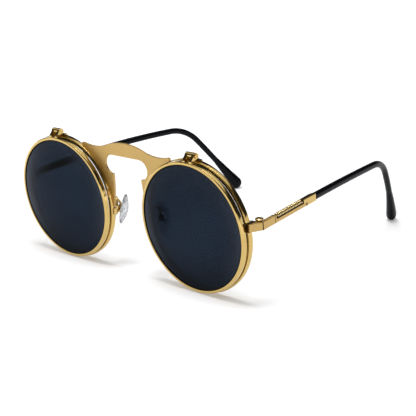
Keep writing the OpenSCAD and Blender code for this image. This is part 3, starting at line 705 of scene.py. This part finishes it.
for stem, size in RIMS.items():
    points = rim_profile(size["wall"], size["depth"], size["bevel"], size["lens"])
    outline = poly_curve([(r * MM, -d * MM, 0) for r, d in points])
    ring = run_tree(RIM_TREE, outline, {
        "Radius": OPENING_R, "Steps": RIM_STEPS, "Edge round": RIM_ROUND,
        "Finish": FINISHES["polished_gold"]})
    radii = [math.hypot(v.co.x, v.co.y) for v in ring.vertices]
    depths = [v.co.z for v in ring.vertices]
    if min(radii) < OPENING_R - TOLERANCE or min(depths) < -TOLERANCE:
        raise ValueError("the profile was swept to the wrong side")
    print(stem, "radius", round(min(radii) / MM, 2), round(max(radii) / MM, 2),
          "depth", round(min(depths) / MM, 2), round(max(depths) / MM, 2))
    ring.transform(size["at"] @ TURN_BACK)
    outward(ring)
    for side in SIDES:
        place(mirrored(ring, side), f"{stem}_{side}")

# %% [markdown]
# ## Lenses
# Each lens is a meniscus: both faces follow the same gentle sphere, so it is equally thick all
# over. A profile from the middle out to the edge, with a tiny ground bevel, is turned round the
# depth axis. The faces that the turn folds up along the axis are taken away.

# %% Make the lenses
LENS_R = 26.2
DOME_R = 260.0
LENS_BEVEL = 0.12
LENS_RINGS = 14
LENS_STEPS = 192
FOLDED_AREA = 1e-14


def sag(radius):
    """How far the dome has fallen back at a radius."""
    return DOME_R - math.sqrt(DOME_R ** 2 - radius ** 2)


def lens_mesh(depth, thick):
    front = (depth - thick) / 2 - sag(LENS_R)
    rim = front + sag(LENS_R)
    radii = [LENS_R * k / LENS_RINGS for k in range(LENS_RINGS)] + [LENS_R - LENS_BEVEL]
    outer = [(r, front + sag(r)) for r in radii]
    inner = [(r, front + sag(r) + thick) for r in reversed(radii)]
    edge = [(LENS_R, rim + LENS_BEVEL), (LENS_R, rim + thick - LENS_BEVEL)]
    mesh = lathe(outer + edge + inner, LENS_STEPS)
    bm = bmesh.new()
    bm.from_mesh(mesh)
    bmesh.ops.remove_doubles(bm, verts=bm.verts, dist=DOUBLES)
    folded = [face for face in bm.faces if face.calc_area() < FOLDED_AREA]
    bmesh.ops.delete(bm, geom=folded, context="FACES")
    bm.to_mesh(mesh)
    bm.free()
    return mesh


for stem, size in (("clear_lens", RIMS["rear_rim"]), ("dark_lens", RIMS["flip_rim"])):
    glass = lens_mesh(size["depth"], size["lens"])
    glass.transform(size["at"] @ TURN_BACK)
    outward(glass)
    for side in SIDES:
        place(mirrored(glass, side), f"{stem}_{side}", 30.0)
    print(stem, len(glass.polygons), "faces")

# %% [markdown]
# ## Temple: a bar frame for the spring, and the sleeve's route
# The bar rises 4.6 degrees toward the back and turns inward 2.7 degrees, as the solids do. The
# sleeve's centre line is walked in small steps whose headings change steadily, so the bend behind
# the ear comes from four angles.

# %% Routes along a temple
BAR_MID_X = 1.5
SLEEVE_FROM = 33.08
SLEEVE_LENGTH = 100.5
BEND_START, BEND_END = 0.481 * SLEEVE_LENGTH, 0.65 * SLEEVE_LENGTH
FALL = ([0, BEND_START, BEND_END, SLEEVE_LENGTH], [-3.4, 1.3, 49.4, 54.0])
INWARD = ([0, BEND_START, BEND_END, SLEEVE_LENGTH], [4.0, 8.6, 21.7, 31.5])


def heading(s):
    """Direction of the sleeve at a distance along it."""
    fall, turn = math.radians(np.interp(s, *FALL)), math.radians(np.interp(s, *INWARD))
    level = math.cos(fall)
    return Vector((-math.sin(turn) * level, math.cos(turn) * level, -math.sin(fall)))


def walk(start, length, steps):
    points, step = [Vector(start)], length / steps
    for k in range(steps):
        points.append(points[-1] + heading((k + 0.5) * step) * step * MM)
    return points


SLEEVE_STEPS = 160
sleeve_start = BAR @ Vector((BAR_MID_X * MM, SLEEVE_FROM * MM, 0))
sleeve_route = walk(sleeve_start, SLEEVE_LENGTH, SLEEVE_STEPS)
print("sleeve ends at", [round(c / MM, 2) for c in sleeve_route[-1]])

# %% [markdown]
# ## Sleeve
# The sleeve is moulded in one piece: nearly round along the temple, flatter and taller at the tip,
# and rounded off at its end. A section is drawn at each step of the route and the sections are
# joined, which lets height and thickness change apart from each other.

# %% Make the sleeves
PADDLE = [0.8 * SLEEVE_LENGTH, 0.9 * SLEEVE_LENGTH, 0.965 * SLEEVE_LENGTH]
HEIGHT = ([0, BEND_START, *PADDLE], [3.08, 2.88, 2.78, 4.5, 6.16])
THICK = ([0, PADDLE[0], PADDLE[2]], [2.48, 2.68, 4.75])
MOUTH_ROUND, MOUTH_SHARE = 0.12, 0.93
TIP_ROUND = 3.2
TIP_STEP = 9
RING_GAP = 0.9
AROUND = 28
SQUARENESS = 2.15


def section(centre, ahead, half_t, half_h):
    """A ring of points on an oval across the route. It's a little squarer than an ellipse."""
    side = ahead.cross(Vector((0, 0, 1))).normalized()
    up = side.cross(ahead)
    ring = []
    for k in range(AROUND):
        a = 2 * math.pi * k / AROUND
        c, s = math.cos(a), math.sin(a)
        x = math.copysign(abs(c) ** (2 / SQUARENESS), c) * half_t
        y = math.copysign(abs(s) ** (2 / SQUARENESS), s) * half_h
        ring.append(centre + (side * x + up * y) * MM)
    return ring


def skin(rings):
    bm = bmesh.new()
    loops = [[bm.verts.new(p) for p in ring] for ring in rings]
    for here, there in zip(loops, loops[1:]):
        bridge(bm, here, there)
    bm.faces.new(loops[0])
    bm.faces.new(loops[-1])
    bmesh.ops.recalc_face_normals(bm, faces=bm.faces)
    return drawn(bm, "skin")


def sleeve_ring(s, share=1.0):
    """The sleeve's section at a distance along it, or a smaller share of that section."""
    k = min(s / SLEEVE_LENGTH * SLEEVE_STEPS, SLEEVE_STEPS - 1e-6)
    low = int(k)
    centre = sleeve_route[low].lerp(sleeve_route[low + 1], k - low)
    half_t, half_h = (np.interp(s, *sizes) / 2 * share for sizes in (THICK, HEIGHT))
    return section(centre, heading(s), half_t, half_h)


last_mark = int((SLEEVE_LENGTH - TIP_ROUND) / RING_GAP)
rings = [sleeve_ring(0.0, MOUTH_SHARE), sleeve_ring(MOUTH_ROUND)]
rings += [sleeve_ring(k * RING_GAP) for k in range(1, last_mark)]
for angle in range(0, 90, TIP_STEP):
    t = math.sin(math.radians(angle))
    rings.append(sleeve_ring(SLEEVE_LENGTH - TIP_ROUND + TIP_ROUND * t, math.sqrt(1 - t * t)))
sleeve = skin(rings)
for side in SIDES:
    place(mirrored(sleeve, side), f"sleeve_{side}", 60.0)
print("sleeve", len(sleeve.polygons), "faces")

# %% [markdown]
# ## Springs
# A coil spring is one wire on a helix. The tree makes the whole of it: Spiral gives the helix,
# Curve Circle the round wire, and Curve to Mesh joins them. Pitch, coil radius, wire and number of
# curls are inputs, so the coil can be wound tighter without touching the tree.

# %% Tree: a wound spring
SPRING_FROM, SPRING_RISE = 8.2, 0.95
CURLS = 17.0
PITCH, COIL_R, SPRING_WIRE_R = 0.95 * MM, 0.75 * MM, 0.25 * MM


def build_spring_tree():
    numbers = (("Curls", "Float", CURLS), ("Pitch", "Float", PITCH),
               ("Coil radius", "Float", COIL_R), ("Wire radius", "Float", SPRING_WIRE_R))
    tree, given = new_tree("wound_spring", "Blank", numbers, "Spring")
    length = tree.nodes.new("ShaderNodeMath")
    length.operation = "MULTIPLY"
    join(tree, given, "Curls", length, 0)
    join(tree, given, "Pitch", length, 1)
    helix = tree.nodes.new("GeometryNodeCurveSpiral")
    helix.inputs["Resolution"].default_value = 28
    join(tree, given, "Curls", helix, "Rotations")
    join(tree, given, "Coil radius", helix, "Start Radius")
    join(tree, given, "Coil radius", helix, "End Radius")
    join(tree, length, "Value", helix, "Height")
    wire = tree.nodes.new("GeometryNodeCurvePrimitiveCircle")
    wire.inputs["Resolution"].default_value = 12
    join(tree, given, "Wire radius", wire, "Radius")
    sweep = tree.nodes.new("GeometryNodeCurveToMesh")
    sweep.inputs["Fill Caps"].default_value = True
    join(tree, helix, "Curve", sweep, "Curve")
    join(tree, wire, "Curve", sweep, "Profile Curve")
    return close_tree(tree, given, sweep, "Spring")


SPRING_TREE = build_spring_tree()
spring_at = Vector((BAR_MID_X, SPRING_FROM, SPRING_RISE)) * MM
coil = run_tree(SPRING_TREE, bpy.data.meshes.new("seed"), {
    "Curls": CURLS, "Pitch": PITCH, "Coil radius": COIL_R, "Wire radius": SPRING_WIRE_R,
    "Finish": FINISHES["spring_gold"]})
coil.transform(BAR @ Matrix.Translation(spring_at) @ TURN_BACK)
outward(coil)
for side in SIDES:
    place(mirrored(coil, side), f"spring_{side}", 60.0)
print("spring", len(coil.polygons), "faces")

# %% [markdown]
# ## Nose pads
# A pad is an egg shaped cushion of silicone. A coarse cage with a flat back and a crowned face is
# drawn in rings, and Subdivision Surface rounds it.

# %% Make the pads
PAD_HEIGHT, PAD_WIDTH, PAD_THICK = 13.6, 8.2, 2.9
PAD_RINGS = ((0.30, 0.02), (0.78, 0.02), (0.93, 0.16), (1.0, 0.5), (0.93, 0.86), (0.62, 1.38),
             (0.30, 1.9))
FULL_DEPTH = 2.15
PAD_AROUND = 24
EGG = 0.12


def pad_mesh():
    """Rings of the cage, each with its share of the outline and its depth, then rounded."""
    rings = []
    for share, depth in PAD_RINGS:
        ring = []
        for k in range(PAD_AROUND):
            a = 2 * math.pi * k / PAD_AROUND
            y = PAD_WIDTH / 2 * math.cos(a) * (1 - EGG * math.sin(a)) * share
            z = PAD_HEIGHT / 2 * math.sin(a) * share
            ring.append(AT_PAD @ Vector((-depth * MM * PAD_THICK / FULL_DEPTH, y * MM, z * MM)))
        rings.append(ring)
    blank = blank_of(skin(rings))
    rounder = blank.modifiers.new("round", "SUBSURF")
    rounder.levels = 2
    rounder.render_levels = 2
    return outward(worked(blank))


pad = pad_mesh()
for side in SIDES:
    place(mirrored(pad, side), f"nose_pad_{side}", 80.0)
print("pad", len(pad.polygons), "faces")

# %% [markdown]
# ## Pad arms
# Each pad hangs on a wire that is soldered behind the rim, loops up and over, and ends in a flat
# tongue between the cheeks of the pad's box. The wire bends smoothly, so the tree turns a few
# points into a Catmull-Rom curve before it sweeps a circle along it. The foot is skinned like the
# sleeve, and the tongue is a short disc. Both are joined to the wire.

# %% Tree: a bent wire
def build_wire_tree():
    numbers = (("Wire radius", "Float", 0.0005), ("Sides", "Int", 16))
    tree, given = new_tree("bent_wire", "Path", numbers, "Wire")
    bend = tree.nodes.new("GeometryNodeCurveSplineType")
    bend.spline_type = "CATMULL_ROM"
    join(tree, given, "Path", bend, "Curve")
    wire = tree.nodes.new("GeometryNodeCurvePrimitiveCircle")
    join(tree, given, "Sides", wire, "Resolution")
    join(tree, given, "Wire radius", wire, "Radius")
    sweep = tree.nodes.new("GeometryNodeCurveToMesh")
    sweep.inputs["Fill Caps"].default_value = True
    join(tree, bend, "Curve", sweep, "Curve")
    join(tree, wire, "Curve", sweep, "Profile Curve")
    return close_tree(tree, given, sweep, "Wire")


WIRE_TREE = build_wire_tree()
print("wire tree:", len(WIRE_TREE.nodes), "nodes")

# %% [markdown]
# The path starts at the foot behind the rear rim. Its middle points are measured from the pad's
# pin, and the last three stand in the pad's own frame, so the wire always meets the tongue. The
# foot is a short flat strip that follows the rear rim, and its places are given in degrees below
# the middle of the rim.

# %% Make the pad arms
WIRE_R, WIRE_SIDES = 0.5 * MM, 16
WIRE_OUT, WIRE_DEPTH = 27.7, 2.56
WIRE_DEGREES = (3.4, 0.8)
LOOP = ((-1.2, -3.6, 3.6), (-0.5, -3.0, 4.8), (0.3, -2.3, 5.3), (1.0, -1.5, 4.9),
        (1.1, -0.8, 3.8))
TONGUE_X, TONGUE_R, TONGUE_THICK = 0.95, 0.59 * MM, 0.8 * MM
TONGUE_RISES = (2.2, 1.7, 0.9)
FOOT_OUT, FOOT_DEPTH = 27.52, 1.8
FOOT_HALF_THICK, FOOT_HALF_WIDE = 0.27, 1.2
FOOT_DEGREES = (1.9, 2.1, 2.6, 4.0, 6.0, 7.8, 8.6, 8.9)
FOOT_TAPER, END_SHARE = 0.7, 0.35
FOOT_AROUND = 16


def behind_rim(degrees, out=WIRE_OUT, depth=WIRE_DEPTH):
    """A place on the rear rim's nose side, at an angle below the rim's middle."""
    a = math.radians(degrees)
    return AT_REAR @ Vector((-out * math.cos(a) * MM, depth * MM, -out * math.sin(a) * MM))


def foot_ring(degrees):
    """A flat oval across the foot. It gets smaller toward the foot's ends."""
    to_end = min(degrees - FOOT_DEGREES[0], FOOT_DEGREES[-1] - degrees)
    share = min(1.0, END_SHARE + (1.0 - END_SHARE) * to_end / FOOT_TAPER)
    ahead = (behind_rim(degrees + 0.5) - behind_rim(degrees - 0.5)).normalized()
    side = (behind_rim(degrees, WIRE_OUT + 1) - behind_rim(degrees)).normalized()
    deep = side.cross(ahead)
    middle = behind_rim(degrees, FOOT_OUT, FOOT_DEPTH)
    ring = []
    for k in range(FOOT_AROUND):
        a = 2 * math.pi * k / FOOT_AROUND
        across = side * FOOT_HALF_THICK * math.cos(a) + deep * FOOT_HALF_WIDE * math.sin(a)
        ring.append(middle + across * share * MM)
    return ring


path = [behind_rim(degrees) for degrees in WIRE_DEGREES]
path += [PAD_PIN + Vector(point) * MM for point in LOOP]
path += [AT_PAD @ (Vector((TONGUE_X, 0, rise)) * MM) for rise in TONGUE_RISES]
wire = run_tree(WIRE_TREE, poly_curve(path, closed=False), {
    "Wire radius": WIRE_R, "Sides": WIRE_SIDES, "Finish": FINISHES["polished_gold"]})
foot = skin([foot_ring(degrees) for degrees in FOOT_DEGREES])
bm = bmesh.new()
bmesh.ops.create_cone(
    bm, cap_ends=True, segments=32, radius1=TONGUE_R, radius2=TONGUE_R, depth=TONGUE_THICK)
tongue = drawn(bm, "tongue")
on_side = Matrix.Rotation(math.radians(90), 4, "X")
tongue.transform(AT_PAD @ Matrix.Translation((TONGUE_X * MM, 0, 0)) @ on_side)
bm = bmesh.new()
for mesh in (outward(wire), foot, tongue):
    bm.from_mesh(mesh)
arm = drawn(bm, "pad_arm")
for side in SIDES:
    place(mirrored(arm, side), f"pad_arm_{side}", 40.0)
print("pad arm", len(arm.polygons), "faces")

# %% [markdown]
# ## Stage
# A plain white floor and a soft room, as for a catalogue picture. The floor glows a little for
# camera and glossy rays, and more with distance, so it fades to white and keeps its shadows near
# the part. Camera and transmitted rays see a white room. Glossy rays see white at the horizon, a
# dark band above it and a white ceiling, which gives polished gold its dark and light bands.

# %% Floor and world
WHITE, DARK = (1.0, 1.0, 1.0, 1.0), (0.03, 0.03, 0.03, 1.0)
SKY = ((0.0, WHITE), (0.13, WHITE), (0.17, DARK), (0.68, DARK), (0.76, WHITE))
FLOOR_HALF = 2.0


def white_floor():
    f = new_finish("floor")
    paint = f.node("ShaderNodeBsdfDiffuse", {}, {"Color": (0.80, 0.80, 0.81, 1.0)})
    ray = f.node("ShaderNodeLightPath")
    seen = (ray["Is Camera Ray"] + ray["Is Glossy Ray"]).at_most(1.0)
    at = f.node("ShaderNodeTexCoord")["Object"]
    reach = f.node("ShaderNodeVectorMath", {"operation": "LENGTH"}, {0: at})["Value"]
    strength = seen * (reach.between(0.12, 0.5) * 0.72 + 0.28)
    glow = f.node("ShaderNodeEmission", {}, {"Color": WHITE, "Strength": strength})
    both = f.node("ShaderNodeAddShader", {}, {0: paint["BSDF"], 1: glow["Emission"]})
    return f.surface(both["Shader"])


def soft_room():
    f = Finish(scene.world or bpy.data.worlds.new("room"))
    scene.world = f.owner
    at = f.node("ShaderNodeTexCoord")["Generated"]
    up = f.node("ShaderNodeSeparateXYZ", {}, {"Vector": at})["Z"]
    bands = f.node("ShaderNodeValToRGB", {"stops": SKY}, {"Fac": up})["Color"]
    ray = f.node("ShaderNodeLightPath")
    white = (ray["Is Camera Ray"] + ray["Is Transmission Ray"]).at_most(1.0)
    shown = f.blend(white, bands, WHITE[:3])
    level = 1.0 - ray["Is Diffuse Ray"] * 0.15
    back = f.node("ShaderNodeBackground", {}, {"Color": shown, "Strength": level})
    f.node("ShaderNodeOutputWorld", {}, {"Surface": back["Background"]})


bm = bmesh.new()
bmesh.ops.create_grid(bm, x_segments=2, y_segments=2, size=FLOOR_HALF)
ground = drawn(bm, "floor")
ground.materials.append(white_floor())
floor = bpy.data.objects.new("floor", ground)
scene.collection.objects.link(floor)
soft_room()
print("floor and room ready")

# %% [markdown]
# ## Lights and camera
# One soft light hangs above and a little in front, and a weak one stands at the left. The camera
# stands where the picture was taken: it was worked out from the round openings, the hinges and the
# temples, and is a long lens of 96 mm.

# %% Lights and camera
LIGHTS = (("overhead", (0.03, -0.13, 0.9), (0, -0.05, 0), (0.36, 0.28), 5.4),
          ("left_side", (-0.9, -0.15, 0.7), (0, 0, 0.02), (0.5, 0.5), 0.6))
CAMERA_DEGREES = (43.636, 17.050, -2.990)
EYE_X, EYE_AHEAD, EYE_Z = 322.535 * MM, 288.623 * MM, 159.454 * MM
FOCAL_PIXELS, PICTURE_PIXELS, SENSOR = 1111.68, 416, 36.0


def soft_light(name, place_at, aim, size, power):
    data = bpy.data.lights.new(name, "AREA")
    data.shape = "RECTANGLE"
    data.size, data.size_y = size
    data.energy = power
    lamp = bpy.data.objects.new(name, data)
    lamp.location = place_at
    lamp.rotation_euler = (Vector(aim) - Vector(place_at)).to_track_quat("-Z", "Y").to_euler()
    scene.collection.objects.link(lamp)


for light in LIGHTS:
    soft_light(*light)

azimuth, elevation, roll = (math.radians(v) for v in CAMERA_DEGREES)
level = math.cos(elevation)
back = Vector((math.sin(azimuth) * level, -math.cos(azimuth) * level, math.sin(elevation)))
level_x = Vector((math.cos(azimuth), math.sin(azimuth), 0))
level_y = back.cross(level_x)
cam_x = math.cos(roll) * level_x + math.sin(roll) * level_y
cam_y = -math.sin(roll) * level_x + math.cos(roll) * level_y
eye = Vector((EYE_X, FRONT_Y - EYE_AHEAD, EYE_Z))
lens_data = bpy.data.cameras.new("camera")
lens_data.sensor_width = SENSOR
lens_data.lens = FOCAL_PIXELS / PICTURE_PIXELS * SENSOR
lens_data.clip_start = 0.01
camera = bpy.data.objects.new("camera", lens_data)
facing = Matrix((cam_x, cam_y, back)).transposed().to_4x4()
camera.matrix_world = Matrix.Translation(eye) @ facing
scene.collection.objects.link(camera)
scene.camera = camera
scene.view_settings.view_transform = "Standard"
print("camera", round(lens_data.lens, 2), "mm lens")
